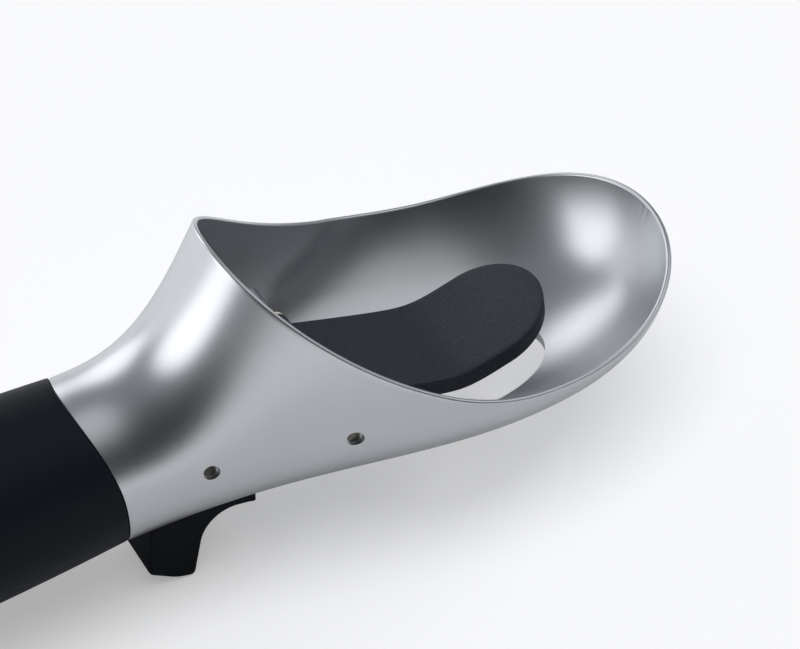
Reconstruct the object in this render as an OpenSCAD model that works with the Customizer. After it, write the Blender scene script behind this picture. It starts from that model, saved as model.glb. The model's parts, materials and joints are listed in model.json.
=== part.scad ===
// Lever ice cream scoop: a cast head with a hood and an open bowl, a black handle, a finger
// trigger under the neck and an ejector paddle over a window in the bowl.
// X runs from the handle to the bowl's lip, Z is up, and the plane Y = 0 is the plane of symmetry.
// The origin is the centre of the round neck, level with its joint with the handle.

/* [Neck and wall] */
// Outside diameter of the round neck, where the handle starts
neck_d = 31.3; // [30:0.1:33]
// Thickness of the cast wall
wall_t = 2.3; // [1.8:0.1:2.6]
// Thickness of the mouth's edge
rim_t = 0.9; // [0.7:0.05:1.4]
// Distance from the mouth's edge over which the wall grows to its full thickness
rim_taper = 14; // [10:0.5:16]
// Distance from the origin to the joint line under the neck
joint_x = 1.3; // [1:0.1:2]
// How far the joint line sweeps back at the top of the neck
joint_sweep = 3.3; // [2:0.1:4]

/* [Hood and bowl] */
// Distance from the origin to the rear edge of the mouth, at the top of the hood
hood_x = 28.8; // [27:0.1:30]
// Height that the hood's top line gains over its reach
hood_rise = 28.6; // [24:0.1:32]
// Reach of the hood's top line, from the origin
hood_reach = 34.7; // [33:0.1:36]
// Distance from the origin to the bowl's widest place
bowl_wide_x = 75.2; // [72:0.1:78]
// Half width of the bowl at its widest
bowl_half_w = 31.4; // [29:0.1:33]
// Depth of the bowl's bottom below the origin, at the widest place
bowl_drop = 17.3; // [16.5:0.1:19]
// Distance from the origin to the end of the form that the bowl is cut from
bowl_end_x = 112.85; // [108:0.05:118]
// Height of the bowl's widest line at its front end
bowl_mid_z = 8.2; // [7:0.1:9]
// Distance from the front lip back to the end of the form
lip_trim = 0.18; // [0.1:0.01:0.3]
// Roundness of the bowl's front: 2 is an ellipse, more is fuller
bowl_fullness = 2.5; // [2.2:0.1:2.8]

/* [Window] */
// Distance from the origin to the window's centre
window_x = 66.4; // [65:0.1:68]
// Length of the oval window
window_len = 43; // [42:0.1:46]
// Width of the oval window
window_w = 27; // [26:0.1:30]

/* [Pins and linkage] */
// Distance from the origin to the trigger's pin
trigger_pin_x = 17; // [16.5:0.1:17.5]
// Height of the trigger's pin
trigger_pin_z = 1.4; // [1:0.1:2]
// Distance from the origin to the paddle's pin
paddle_pin_x = 41.5; // [41:0.1:42]
// Height of the paddle's pin
paddle_pin_z = 2; // [1.6:0.1:2.4]
// Diameter of the steel pins
pin_d = 2.5; // [2.2:0.1:2.6]
// Diameter of the recess that shows each pin's end
pin_recess_d = 3; // [2.8:0.1:3.2]
// Depth of each pin's end below the outside of the head
pin_recess = 1; // [0.6:0.1:1.4]
// Trigger travel from the pose drawn here to the pulled stop, degrees
pull_angle = 12; // [10:1:12]
// Trigger travel from the pose drawn here to the released stop, degrees
release_angle = 10; // [8:1:10]
// Share of the distance between the pins that the trigger's arm takes
arm_share = 0.6; // [0.58:0.01:0.62]

/* [Trigger] */
// Width of the trigger
trigger_w = 15; // [14:0.1:16]
// Radius of the hollow for the finger
finger_r = 7; // [6.5:0.1:7.5]
// Length of the leg below the neck
leg_drop = 13.3; // [12:0.1:14]
// Distance from the trigger's pin forward to its lip
lip_reach = 10.4; // [9.8:0.1:10.6]
// Distance from the trigger's pin back to the foot of the leg
leg_reach = 12.4; // [12:0.1:12.6]
// Radius of the hub round the trigger's pin
trigger_hub_r = 4.2; // [4:0.1:4.5]

/* [Paddle] */
// Width of the paddle
paddle_w = 22.7; // [21:0.1:23]
// Thickness of the paddle
paddle_t = 3.6; // [3:0.1:3.8]
// Distance from the paddle's pin to its tip
paddle_len = 47.1; // [46:0.1:47.5]
// Radius of the hub round the paddle's pin
paddle_hub_r = 3.2; // [3:0.1:3.4]
// Distance from the paddle's pin to the bend in the blade
paddle_bend = 26.2; // [25:0.1:28]
// Depth of the bend below the paddle's pin, before it is rounded
paddle_bend_drop = 8.3; // [8:0.1:8.6]
// Slope of the blade down from the hub
paddle_fall_slope = 0.34; // [0.32:0.01:0.36]
// Slope of the blade up to its tip
paddle_rise_slope = 0.27; // [0.25:0.01:0.28]
// Rise that the rounding of the bend gives
paddle_bend_round = 1.3; // [1:0.1:1.6]

/* [Handle] */
// Length of the handle from the joint to its end
handle_len = 114; // [105:1:120]
// Slope of the handle's side where it leaves the neck
handle_flare = 0.078; // [0.05:0.001:0.09]
// Distance from the joint to the thickest place
handle_belly_x = 52; // [46:1:58]
// Wall of the grip at the joint line
grip_wall = 3.65; // [3.25:0.05:4.65]
// Length of the end cap that shows
cap_len = 8; // [7:0.5:10]
// Diameter of the tie rod
rod_d = 6; // [5:0.5:6]

/* [Hidden] */

$fn = 96;
// Overrun of every cut past the face it opens
over = 1;
// Radial clearance of a turning fit
turn_gap = 0.03;
// Radial clearance of a piece that is pressed or screwed home
seat_gap = 0.01;
// Side clearance between pieces that move past each other
side_gap = 0.1;
// Radial clearance of the loose pieces round the tie rod
loose_gap = 0.2;
// Step along X for the surface's slope
probe = 0.01;

cast_colour = "silver";
black_colour = "#1b1e22";
steel_colour = "lightsteelblue";
rubber_colour = "#101010";
nylon_colour = "ivory";

neck_r = neck_d / 2;
grip_bore_r = neck_r - grip_wall;
pin_r = pin_d / 2;
lip_x = bowl_end_x - lip_trim;

// Heights of the control points of each long curve, evenly spaced along X, as shares of its rise
width_shares = [0, 0, 0.058, 0.654, 1, 1];
bottom_shares = [0, 0, 0.07, -0.2, 1, 1];
mid_shares = [0, 0, 1.22, 1];
top_shares = [0, 0, -0.018, 0.583, 1];

// Where the hood's top line stops rising, in the open, past everything that is cut from it
hood_end_x = 60;

// Control points of the mouth's edge in side view: shares of its length, and of its drop
rim_x_shares = [0, 0.215, 0.527, 1];
rim_z_shares = [0, 0.881, 1.502, 1];

closed_rows = 12;
open_rows = 30;
columns = 28;

// A Bezier curve with any number of controls, numbers or points
function bezier(controls, s) =
    len(controls) == 1
        ? controls[0]
        : bezier([for (i = [0:len(controls) - 2]) controls[i] * (1 - s) + controls[i + 1] * s], s);

function clamp(value, low, high) = min(max(value, low), high);
function mix(low, high, share) = low * (1 - share) + high * share;

// The form that the hood and bowl are cut from: a bag whose sections along X have a widest line,
// and an elliptical upper and lower half
function front_share(x) = clamp((x - bowl_wide_x) / (bowl_end_x - bowl_wide_x), 0, 1);
function closing(x) = sqrt(max(1 - pow(front_share(x), bowl_fullness), 0));
function body_share(x) = x / bowl_wide_x;
function half_width(x) = x < bowl_wide_x
    ? mix(neck_r, bowl_half_w, bezier(width_shares, body_share(x)))
    : bowl_half_w * closing(x);
function mid_z(x) = bowl_mid_z * bezier(mid_shares, x / bowl_end_x);
function bottom_z(x) = x < bowl_wide_x
    ? -mix(neck_r, bowl_drop, bezier(bottom_shares, body_share(x)))
    : mid_z(x) - (mid_z(x) + bowl_drop) * closing(x);
function top_z(x) = neck_r + hood_rise * bezier(top_shares, min(x, hood_end_x) / hood_reach);
function section_h(x, a) = sin(a) > 0 ? top_z(x) - mid_z(x) : mid_z(x) - bottom_z(x);

// A point on the outside, and the outward direction there
function bag_point(x, a) = [x, half_width(x) * cos(a), mid_z(x) + section_h(x, a) * sin(a)];
function bag_normal(x, a) =
    let (
        along = bag_point(x + probe, a) - bag_point(x - probe, a),
        round = [0, -half_width(x) * sin(a), section_h(x, a) * cos(a)],
        across = cross(round, along)
    )
    across / norm(across);

// The mouth's edge in side view
rim_start = [hood_x, top_z(hood_x)];
rim_end = [lip_x, bottom_z(lip_x)];
function rim_point(s) = [
    mix(rim_start[0], rim_end[0], bezier(rim_x_shares, s)),
    mix(rim_start[1], rim_end[1], bezier(rim_z_shares, s))
];
function rim_angle(x, z) =
    asin(clamp((z - mid_z(x)) / (z > mid_z(x) ? top_z(x) - mid_z(x) : mid_z(x) - bottom_z(x)), -1, 1));

// The joint line's place along X at a height: straight below, and an arc above the axis
joint_r = (neck_r * neck_r + joint_sweep * joint_sweep) / (2 * joint_sweep);
function joint_line(z) = z < 0 ? joint_x : joint_x - joint_r + sqrt(joint_r * joint_r - z * z);

// Place and angle of each grid point: rings from the joint to the mouth, then open sections. The
// rings start on the joint line at the height that their own radius gives
function column_share(j) = 2 * j / columns - 1;
function row_open(i) = (1 - cos(180 * (i - closed_rows) / open_rows)) / 2;
function grid_place(i, j, ring_r) =
    i <= closed_rows
        ? let (a = -90 + 180 * column_share(j))
            [mix(joint_line(ring_r * sin(a)), hood_x, i / closed_rows), a]
        : let (
            rim = rim_point(row_open(i)),
            reach = i == closed_rows + open_rows ? 0 : 90 + rim_angle(rim[0], rim[1])
        )
        [rim[0], -90 + reach * column_share(j)];

rows = closed_rows + open_rows;
width = columns + 1;
outer_points = [
    for (i = [0:rows]) for (j = [0:columns])
        let (place = grid_place(i, j, neck_r)) bag_point(place[0], place[1])
];
// The wall thins out towards the mouth's edge, by its distance from the edge's own points
edge_points = [for (i = [closed_rows:rows]) for (j = [0, columns]) outer_points[i * width + j]];
function edge_gap(p) = min([for (edge = edge_points) norm(p - edge)]);
function thin_share(p) = pow(1 - min(edge_gap(p) / rim_taper, 1), 2);
inner_points = [
    for (i = [0:rows]) for (j = [0:columns])
        let (
            place = grid_place(i, j, neck_r - wall_t),
            p = bag_point(place[0], place[1])
        )
        p - mix(wall_t, rim_t, thin_share(p)) * bag_normal(place[0], place[1])
];
layer = width * (rows + 1);

points = concat(outer_points, inner_points);

// The seam of the rings is one column, and the lip's end is one point
function spot(i, j) = i == rows ? i * width : i <= closed_rows && j == columns ? i * width : i * width + j;
// Four corners as two triangles, split along the shorter diagonal
function quad(a, b, c, d) = [
    for (face = norm(points[a] - points[c]) < norm(points[b] - points[d])
        ? [[a, c, b], [a, d, c]] : [[a, d, b], [b, d, c]])
        if (face[0] != face[1] && face[1] != face[2] && face[2] != face[0]) face
];
function cell(i, j) = quad(spot(i, j), spot(i, j + 1), spot(i + 1, j + 1), spot(i + 1, j));
function flip(faces, shift) = [for (face = faces) [face[2] + shift, face[1] + shift, face[0] + shift]];
outer_faces = [for (i = [0:rows - 1]) for (j = [0:columns - 1]) for (face = cell(i, j)) face];
rim_faces = [
    for (i = [closed_rows:rows - 1]) for (face = quad(
        spot(i, 0), spot(i + 1, 0), spot(i + 1, 0) + layer, spot(i, 0) + layer)) face,
    for (i = [closed_rows:rows - 1]) for (face = quad(
        spot(i + 1, columns), spot(i, columns), spot(i, columns) + layer, spot(i + 1, columns) + layer)) face
];
neck_faces = [
    for (j = [0:columns - 1]) for (face = quad(
        spot(0, j + 1), spot(0, j), spot(0, j) + layer, spot(0, j + 1) + layer)) face
];

// Inside the neck: a bulkhead, a shoulder that centres the grip and a spigot for the core
bulkhead_front = 2.6;
bulkhead_skin = 0.3;
bulkhead_r = neck_r - wall_t * 2 / 3;
shoulder_r = grip_bore_r - side_gap;
shoulder_back = 3;
core_wall = 3;
spigot_r = grip_bore_r - core_wall;
spigot_back = 19;
seal_t = 1.2;

// The linkage: the line between the pins, and the middle of the travel
trigger_axis = [trigger_pin_x, trigger_pin_z];
paddle_axis = [paddle_pin_x, paddle_pin_z];
pin_span = norm(paddle_axis - trigger_axis);
span_angle = atan2(paddle_pin_z - trigger_pin_z, paddle_pin_x - trigger_pin_x);
arm_len = pin_span * arm_share;
tail_len = pin_span - arm_len;
lift_ratio = arm_len / tail_len;
mid_pull = (pull_angle - release_angle) / 2;
half_travel = (pull_angle + release_angle) / 2;
drive_angle = span_angle + mid_pull;
drive_axis = trigger_axis + arm_len * [cos(drive_angle), sin(drive_angle)];
slot_angle = span_angle + 180 - lift_ratio * mid_pull;
// The drive pin's farthest place from the paddle's pin, and how far it strays from the slot's line
far_reach = norm([pin_span - arm_len * cos(half_travel), arm_len * sin(half_travel)]);
far_angle = atan2(arm_len * sin(half_travel), pin_span - arm_len * cos(half_travel));
slot_stray = far_reach * sin(abs(lift_ratio * half_travel - far_angle));
roller_r = 2.1;
slot_half_w = roller_r + slot_stray + side_gap;
tail_wall = 1.7;
tail_w = 8;
tail_end_r = slot_half_w + tail_wall;

cheek_t = (trigger_w - tail_w) / 2 - 5 * side_gap;
cheek_end_r = 3;
bush_wall = 1;
bush_flange_t = 0.6;
bush_flange_r = 3;
bush_len = 5;
washer_t = 0.5;
washer_r = 3.1;
trigger_boss_r = 4.2;
paddle_boss_r = 1.9;
paddle_boss_len = 4;
trigger_boss_y = trigger_w / 2 + bush_flange_t + washer_t + side_gap;

// The slot under the neck clears the trigger at both stops, and opens the wall to its full width
slot_gap = 0.4;
neck_slot_w = trigger_w + 2 * slot_gap;
slot_back_x = 1.8;
slot_front_x = 30.8;
slot_top_drop = sqrt(pow(neck_r - wall_t, 2) - pow(neck_slot_w / 2, 2)) - slot_gap;

// Trigger outline, from the pin's axis
lip_drop = 19.4;
lip_lean = 0.6;
lip_top_drop = 13.9;
finger_corner = [0.4, -17.5];
toe_reach = 4;
leg_bottom = neck_r + leg_drop + trigger_pin_z;
belly_reach = 7.4;
belly_lift = 0.9;
foot_lift = 4.2;
heel_reach = 10.3;
heel_drop = 15.8;
heel_top_reach = 9.5;
heel_top_drop = 11;
lip_corner_r = 0.3;
toe_corner_r = 1.1;
belly_corner_r = 9;
foot_corner_r = 1.5;
heel_corner_r = 1.5;
edge_round_r = 1.3;
arc_steps = 6;

// Unit direction, and the arc that rounds one corner of an outline
function unit(v) = v / norm(v);
function corner(before, at, after, r) =
    let (
        back = unit(before - at),
        ahead = unit(after - at),
        half = acos(clamp(back * ahead, -1, 1)) / 2,
        centre = at + unit(back + ahead) * r / sin(half),
        start = at + back * r / tan(half) - centre,
        finish = at + ahead * r / tan(half) - centre,
        from = atan2(start[1], start[0]),
        turn = atan2(start[0] * finish[1] - start[1] * finish[0], start * finish)
    )
    [for (i = [0:arc_steps]) let (a = from + turn * i / arc_steps) centre + r * [cos(a), sin(a)]];
function rounded(corners) = let (n = len(corners)) [
    for (i = [0:n - 1])
        let (at = corners[i], before = corners[(i + n - 1) % n], after = corners[(i + 1) % n])
            each at[2] > 0
                ? corner([before[0], before[1]], [at[0], at[1]], [after[0], after[1]], at[2])
                : [[at[0], at[1]]]
];

// An outline in side view as a slab of a given width
module side_slab(w) rotate([90, 0, 0]) linear_extrude(height = w, center = true) children();
// A round bar along Y
module cross_bar(r, w) rotate([90, 0, 0]) cylinder(r = r, h = w, center = true);
// A revolved solid about the handle's axis: the outline gives radius and place along X
module turned(outline) rotate([0, 90, 0]) rotate_extrude() polygon(outline);
module on_trigger_axis() translate([trigger_pin_x, 0, trigger_pin_z]) children();
module on_paddle_axis() translate([paddle_pin_x, 0, paddle_pin_z]) children();
module on_drive_axis() translate([drive_axis[0], 0, drive_axis[1]]) children();
module both_sides() {
    children();
    mirror([0, 1, 0]) children();
}
// A ring along Y whose inner face is at y
module cross_ring(outer_r, inner_r, y, t) rotate([-90, 0, 0]) translate([0, 0, y]) difference() {
    cylinder(r = outer_r, h = t);
    translate([0, 0, -over]) cylinder(r = inner_r, h = t + 2 * over);
}

module head_shell() polyhedron(
    points = points,
    faces = concat(outer_faces, flip(outer_faces, layer), rim_faces, neck_faces)
);

module window_oval() {
    steps = 60;
    translate([window_x, 0, -bowl_drop - over]) linear_extrude(height = bowl_drop + over)
        polygon([for (i = [0:steps - 1])
            [window_len / 2 * cos(360 * i / steps), window_w / 2 * sin(360 * i / steps)]]);
}

module pin_bore(y_out) {
    cross_bar(pin_r + seat_gap, 2 * (y_out + over));
    both_sides() rotate([-90, 0, 0]) translate([0, 0, y_out - pin_recess])
        cylinder(r = pin_recess_d / 2, h = pin_recess + 2 * over);
}

// Outside of the head level with each pin
trigger_pin_y = half_width(trigger_pin_x);
paddle_pin_y = half_width(paddle_pin_x);

module pin_boss(r, y_in, y_out) both_sides() rotate([-90, 0, 0]) translate([0, 0, y_in])
    cylinder(r = r, h = y_out - wall_t / 2 - y_in);

bumper_r = 2.2;
bumper_t = 1.3;
bumper_stem_r = 1.2;
bumper_stem = 2.4;
bumper_drop = slot_top_drop + slot_gap - bumper_r;

module scoop_head() color(cast_colour) difference() {
    union() {
        head_shell();
        turned([
            [0, -spigot_back], [spigot_r, -spigot_back], [spigot_r, -shoulder_back],
            [shoulder_r, -shoulder_back], [shoulder_r, joint_x + bulkhead_skin],
            [bulkhead_r, joint_x + bulkhead_skin], [bulkhead_r, bulkhead_front], [0, bulkhead_front]
        ]);
        on_trigger_axis() pin_boss(trigger_boss_r, trigger_boss_y, trigger_pin_y);
        on_paddle_axis() pin_boss(paddle_boss_r, paddle_pin_y - wall_t - paddle_boss_len, paddle_pin_y);
    }
    window_oval();
    translate([slot_back_x, -neck_slot_w / 2, -neck_r - 2 * over])
        cube([slot_front_x - slot_back_x, neck_slot_w, neck_r + 2 * over - slot_top_drop]);
    on_trigger_axis() pin_bore(trigger_pin_y);
    on_paddle_axis() pin_bore(paddle_pin_y);
    translate([-spigot_back - over, 0, 0]) rotate([0, 90, 0])
        cylinder(r = rod_d / 2 + seat_gap, h = spigot_back + over - shoulder_back);
    translate([bulkhead_front - bumper_stem, 0, -bumper_drop]) rotate([0, 90, 0])
        cylinder(r = bumper_stem_r, h = bumper_stem + over);
}

// Handle: a barrel whose side is one long arc
barrel_r = handle_belly_x / sin(atan(handle_flare));
barrel_centre = neck_r + barrel_r * (cos(atan(handle_flare)) - 1);
handle_end_x = joint_x - handle_len;
cap_start_x = handle_end_x + cap_len;
function barrel(x) = neck_r - barrel_r * cos(atan(handle_flare))
    + sqrt(pow(barrel_r, 2) - pow(x - joint_x + handle_belly_x, 2));
barrel_steps = 24;
joint_gap = 0.15;

// What lies beyond the joint line, on the head's side, grown by a gap
module head_side(gap) side_slab(4 * neck_r) difference() {
    translate([joint_x - joint_sweep - 2 * over - gap, -2 * neck_r])
        square([joint_sweep + 4 * over + gap, 4 * neck_r]);
    translate([joint_x - joint_r - gap, 0]) intersection() {
        circle(r = joint_r, $fn = 360);
        square([2 * joint_r, joint_r]);
    }
    translate([joint_x - joint_r - gap, -2 * neck_r - over]) square([joint_r, 2 * neck_r + over]);
}

module handle_grip() color(black_colour) difference() {
    turned([
        [grip_bore_r, cap_start_x],
        for (i = [0:barrel_steps])
            let (x = mix(cap_start_x, joint_x + over / 2, i / barrel_steps)) [barrel(x), x],
        [grip_bore_r, joint_x + over / 2]
    ]);
    head_side(joint_gap);
}

core_front = -shoulder_back - seal_t;
core_recess = 8;
nut_seat_depth = 16;
core_back = cap_start_x + core_recess;
nut_seat_x = cap_start_x + nut_seat_depth;
core_r = grip_bore_r - seat_gap;
nut_well_r = 8;
module handle_core() color(nylon_colour) turned([
    [rod_d / 2 + loose_gap, nut_seat_x], [nut_well_r, nut_seat_x], [nut_well_r, core_back],
    [core_r, core_back], [core_r, core_front], [spigot_r + seat_gap, core_front],
    [spigot_r + seat_gap, -spigot_back - side_gap], [rod_d / 2 + loose_gap, -spigot_back - side_gap]
]);

module neck_seal() color(rubber_colour) turned([
    [spigot_r + seat_gap, core_front], [core_r - loose_gap, core_front],
    [core_r - loose_gap, -shoulder_back], [spigot_r + seat_gap, -shoulder_back]
]);

rod_washer_t = 1.6;
lock_washer_t = 1.6;
nut_t = 5;
nut_w = 10;
rod_tail = 1.5;
rod_end_gap = 0.5;
rod_chamfer = 0.6;
rod_back_x = nut_seat_x - rod_washer_t - lock_washer_t - nut_t - rod_tail;
module tie_rod() color(steel_colour) turned([
    [0, rod_back_x], [rod_d / 2 - rod_chamfer, rod_back_x], [rod_d / 2, rod_back_x + rod_chamfer],
    [rod_d / 2, -shoulder_back - rod_end_gap - rod_chamfer],
    [rod_d / 2 - rod_chamfer, -shoulder_back - rod_end_gap], [0, -shoulder_back - rod_end_gap]
]);

module rod_washer() color(steel_colour) turned([
    [rod_d / 2 + loose_gap, nut_seat_x - rod_washer_t], [nut_well_r - loose_gap, nut_seat_x - rod_washer_t],
    [nut_well_r - loose_gap, nut_seat_x], [rod_d / 2 + loose_gap, nut_seat_x]
]);

lock_split = 1.2;
lock_r = 5.2;
module lock_washer() color(steel_colour) difference() {
    turned([
        [rod_d / 2 + loose_gap, nut_seat_x - rod_washer_t - lock_washer_t],
        [lock_r, nut_seat_x - rod_washer_t - lock_washer_t], [lock_r, nut_seat_x - rod_washer_t],
        [rod_d / 2 + loose_gap, nut_seat_x - rod_washer_t]
    ]);
    translate([nut_seat_x - rod_washer_t - lock_washer_t - over, -lock_split / 2, 0])
        cube([lock_washer_t + 2 * over, lock_split, lock_r + over]);
}

module rod_nut() color(steel_colour)
    translate([nut_seat_x - rod_washer_t - lock_washer_t - nut_t, 0, 0]) rotate([0, 90, 0]) difference() {
        cylinder(r = nut_w / 2 / cos(30), h = nut_t, $fn = 6);
        translate([0, 0, -over]) cylinder(r = rod_d / 2 + seat_gap, h = nut_t + 2 * over);
    }

cap_plug_len = 7;
cap_plug_r = grip_bore_r - turn_gap;
cap_plug_wall = 4;
cap_plug_bore_r = cap_plug_r - cap_plug_wall;
cap_floor = 2.4;
cap_flat_r = 8;
seal_wire_r = 0.9;
seal_groove_in = 4;
seal_groove_x = cap_start_x + seal_groove_in;
seal_groove_r = cap_plug_r - 2 * seal_wire_r + turn_gap;
cap_arc_steps = 12;
// The cap's outside: a quarter of an ellipse from the grip's edge to the flat end
module end_cap() color(black_colour) turned([
    [0, handle_end_x],
    for (i = [0:cap_arc_steps])
        let (a = 90 * i / cap_arc_steps)
            [mix(cap_flat_r, barrel(cap_start_x), sin(a)), cap_start_x - cap_len * cos(a)],
    [cap_plug_r, cap_start_x], [cap_plug_r, seal_groove_x - seal_wire_r - turn_gap],
    [seal_groove_r - turn_gap, seal_groove_x - seal_wire_r - turn_gap],
    [seal_groove_r - turn_gap, seal_groove_x + seal_wire_r + turn_gap],
    [cap_plug_r, seal_groove_x + seal_wire_r + turn_gap], [cap_plug_r, cap_start_x + cap_plug_len],
    [cap_plug_bore_r, cap_start_x + cap_plug_len], [cap_plug_bore_r, handle_end_x + cap_floor],
    [0, handle_end_x + cap_floor]
]);

module end_cap_seal() color(rubber_colour) translate([seal_groove_x, 0, 0]) rotate([0, 90, 0])
    rotate_extrude() translate([seal_groove_r + seal_wire_r, 0]) circle(r = seal_wire_r, $fn = 32);

module stop_bumper() color(rubber_colour) translate([bulkhead_front, 0, -bumper_drop]) rotate([0, 90, 0]) {
    cylinder(r = bumper_r, h = bumper_t);
    translate([0, 0, -bumper_stem + side_gap]) cylinder(r = bumper_stem_r - seat_gap, h = bumper_stem);
}

// The corners' places are from the pin's axis, each with the radius that rounds it
trigger_outline = [for (place = rounded([
    [lip_reach, -lip_top_drop, lip_corner_r],
    [lip_reach - lip_lean, -lip_drop, lip_corner_r],
    [finger_corner[0], finger_corner[1], finger_r],
    [-toe_reach, -leg_bottom, toe_corner_r],
    [-belly_reach, belly_lift - leg_bottom, belly_corner_r],
    [-leg_reach, foot_lift - leg_bottom, foot_corner_r],
    [-heel_reach, -heel_drop, 0],
    [-heel_top_reach, -heel_top_drop, heel_corner_r],
    [-trigger_hub_r / 2, 0, 0],
    [trigger_hub_r / 2, 0, 0]
])) trigger_axis + place];

// The trigger from above: square to the front, with rounded corners at the back
trigger_plan = rounded([
    [trigger_pin_x + arm_len, -trigger_w / 2, 0], [trigger_pin_x + arm_len, trigger_w / 2, 0],
    [trigger_pin_x - leg_reach, trigger_w / 2, edge_round_r],
    [trigger_pin_x - leg_reach, -trigger_w / 2, edge_round_r]
]);

// The arm's sides run between the hub and the round end at the drive pin, just inside their tangents
arm_lean = asin((trigger_hub_r - cheek_end_r) / arm_len);
function arm_corner(centre, r, side) = centre + (r - side_gap) * [
    cos(drive_angle + side * (90 - arm_lean)), sin(drive_angle + side * (90 - arm_lean))
];

module trigger_lever() color(black_colour) difference() {
    union() {
        intersection() {
            side_slab(trigger_w + over) polygon(trigger_outline);
            translate([0, 0, -leg_bottom]) linear_extrude(height = 2 * leg_bottom) polygon(trigger_plan);
        }
        on_trigger_axis() cross_bar(trigger_hub_r, trigger_w);
        both_sides() translate([0, trigger_w / 2 - cheek_t / 2, 0]) {
            on_drive_axis() cross_bar(cheek_end_r, cheek_t);
            side_slab(cheek_t) polygon([
                arm_corner(trigger_axis, trigger_hub_r, 1), arm_corner(drive_axis, cheek_end_r, 1),
                arm_corner(drive_axis, cheek_end_r, -1), arm_corner(trigger_axis, trigger_hub_r, -1)
            ]);
        }
    }
    on_trigger_axis() cross_bar(pin_r + bush_wall + seat_gap, trigger_w + 2 * over);
    on_drive_axis() cross_bar(pin_r + seat_gap, trigger_w + 2 * over);
}

clip_t = 0.5;
clip_r = 2.3;
clip_gap = 0.05;
clip_mouth = 1.4;
clip_groove = 0.3;
paddle_clip_y = paddle_w / 2 + bush_flange_t + washer_t + side_gap;

// The grooves that a pin's clips snap into, and the open clips themselves
module clip_grooves(y) both_sides()
    cross_ring(pin_r + over, pin_r - clip_groove, y - clip_gap / 2, clip_t + clip_gap);
module clips(y) both_sides() difference() {
    cross_ring(clip_r, pin_r - clip_groove + seat_gap, y, clip_t);
    translate([-clip_mouth / 2, y - over, 0]) cube([clip_mouth, clip_t + 2 * over, clip_r + over]);
}

module trigger_pin() color(steel_colour) on_trigger_axis() cross_bar(pin_r, 2 * (trigger_pin_y - pin_recess));
module ejector_pin() color(steel_colour) on_paddle_axis() difference() {
    cross_bar(pin_r, 2 * (paddle_pin_y - pin_recess));
    clip_grooves(paddle_clip_y);
}
module ejector_clips() color(steel_colour) on_paddle_axis() clips(paddle_clip_y);

// Two flanged bushes pressed in from the ends of a hub
module hub_bushes(hub_half) both_sides() {
    cross_ring(pin_r + bush_wall, pin_r + turn_gap, hub_half - bush_len, bush_len + bush_flange_t);
    cross_ring(bush_flange_r, pin_r + bush_wall - seat_gap, hub_half, bush_flange_t);
}
module trigger_bushes() color(nylon_colour) on_trigger_axis() hub_bushes(trigger_w / 2);
module ejector_bushes() color(nylon_colour) on_paddle_axis() hub_bushes(paddle_w / 2);

module hub_washers(hub_half) both_sides()
    cross_ring(washer_r, pin_r + turn_gap, hub_half + bush_flange_t + side_gap / 2, washer_t);
module friction_washers() color(steel_colour) on_trigger_axis() hub_washers(trigger_w / 2);
module ejector_washers() color(steel_colour) on_paddle_axis() hub_washers(paddle_w / 2);

drive_end = 0.4;
drive_clip_y = trigger_w / 2 + clip_gap;
module drive_pin() color(steel_colour) on_drive_axis() difference() {
    cross_bar(pin_r, 2 * (drive_clip_y + clip_t + drive_end));
    clip_grooves(drive_clip_y);
}
module drive_clips() color(steel_colour) on_drive_axis() clips(drive_clip_y);
module drive_roller() color(nylon_colour) on_drive_axis()
    cross_ring(roller_r, pin_r + turn_gap, -tail_w / 2, tail_w);

// The blade's upper line in side view: a fall and a rise with a rounded bend between
function blade_top(x) =
    let (
        along = x - paddle_pin_x - paddle_bend,
        fall = -paddle_fall_slope * along,
        rise = paddle_rise_slope * along
    )
    paddle_pin_z - paddle_bend_drop + (fall + rise) / 2
        + sqrt(pow((fall - rise) / 2, 2) + pow(paddle_bend_round, 2));
paddle_tip_x = paddle_pin_x + paddle_len;
blade_steps = 20;
function blade_x(i) = mix(paddle_pin_x, paddle_tip_x + over, i / blade_steps);
tail_end = paddle_axis + far_reach * [cos(slot_angle), sin(slot_angle)];
slot_start = paddle_axis + tail_len * [cos(slot_angle), sin(slot_angle)];

module ejector_paddle() color(black_colour) difference() {
    union() {
        intersection() {
            side_slab(paddle_w) polygon([
                for (i = [0:blade_steps]) let (x = blade_x(i)) [x, blade_top(x)],
                for (i = [blade_steps:-1:0]) let (x = blade_x(i)) [x, blade_top(x) - paddle_t]
            ]);
            translate([0, 0, paddle_pin_z - 2 * paddle_bend_drop]) union() {
                translate([paddle_tip_x - paddle_w / 2, 0, 0])
                    cylinder(r = paddle_w / 2, h = 4 * paddle_bend_drop);
                translate([paddle_pin_x - over, -paddle_w, 0])
                    cube([paddle_len - paddle_w / 2 + over, 2 * paddle_w, 4 * paddle_bend_drop]);
            }
        }
        on_paddle_axis() cross_bar(paddle_hub_r, paddle_w);
        side_slab(tail_w) union() {
            translate(tail_end) circle(r = tail_end_r);
            translate(paddle_axis) rotate(slot_angle)
                translate([0, -tail_end_r]) square([far_reach, 2 * tail_end_r]);
        }
    }
    on_paddle_axis() cross_bar(pin_r + bush_wall + seat_gap, paddle_w + 2 * over);
    side_slab(tail_w + 2 * over) union() {
        translate(tail_end) circle(r = slot_half_w);
        translate(slot_start) circle(r = slot_half_w);
        translate(paddle_axis) rotate(slot_angle)
            translate([tail_len, -slot_half_w]) square([far_reach - tail_len, 2 * slot_half_w]);
    }
}

scoop_head();
neck_seal();
handle_grip();
handle_core();
tie_rod();
rod_washer();
lock_washer();
rod_nut();
end_cap();
end_cap_seal();
stop_bumper();
trigger_lever();
trigger_pin();
trigger_bushes();
friction_washers();
drive_pin();
drive_roller();
drive_clips();
ejector_paddle();
ejector_pin();
ejector_bushes();
ejector_washers();
ejector_clips();
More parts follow.
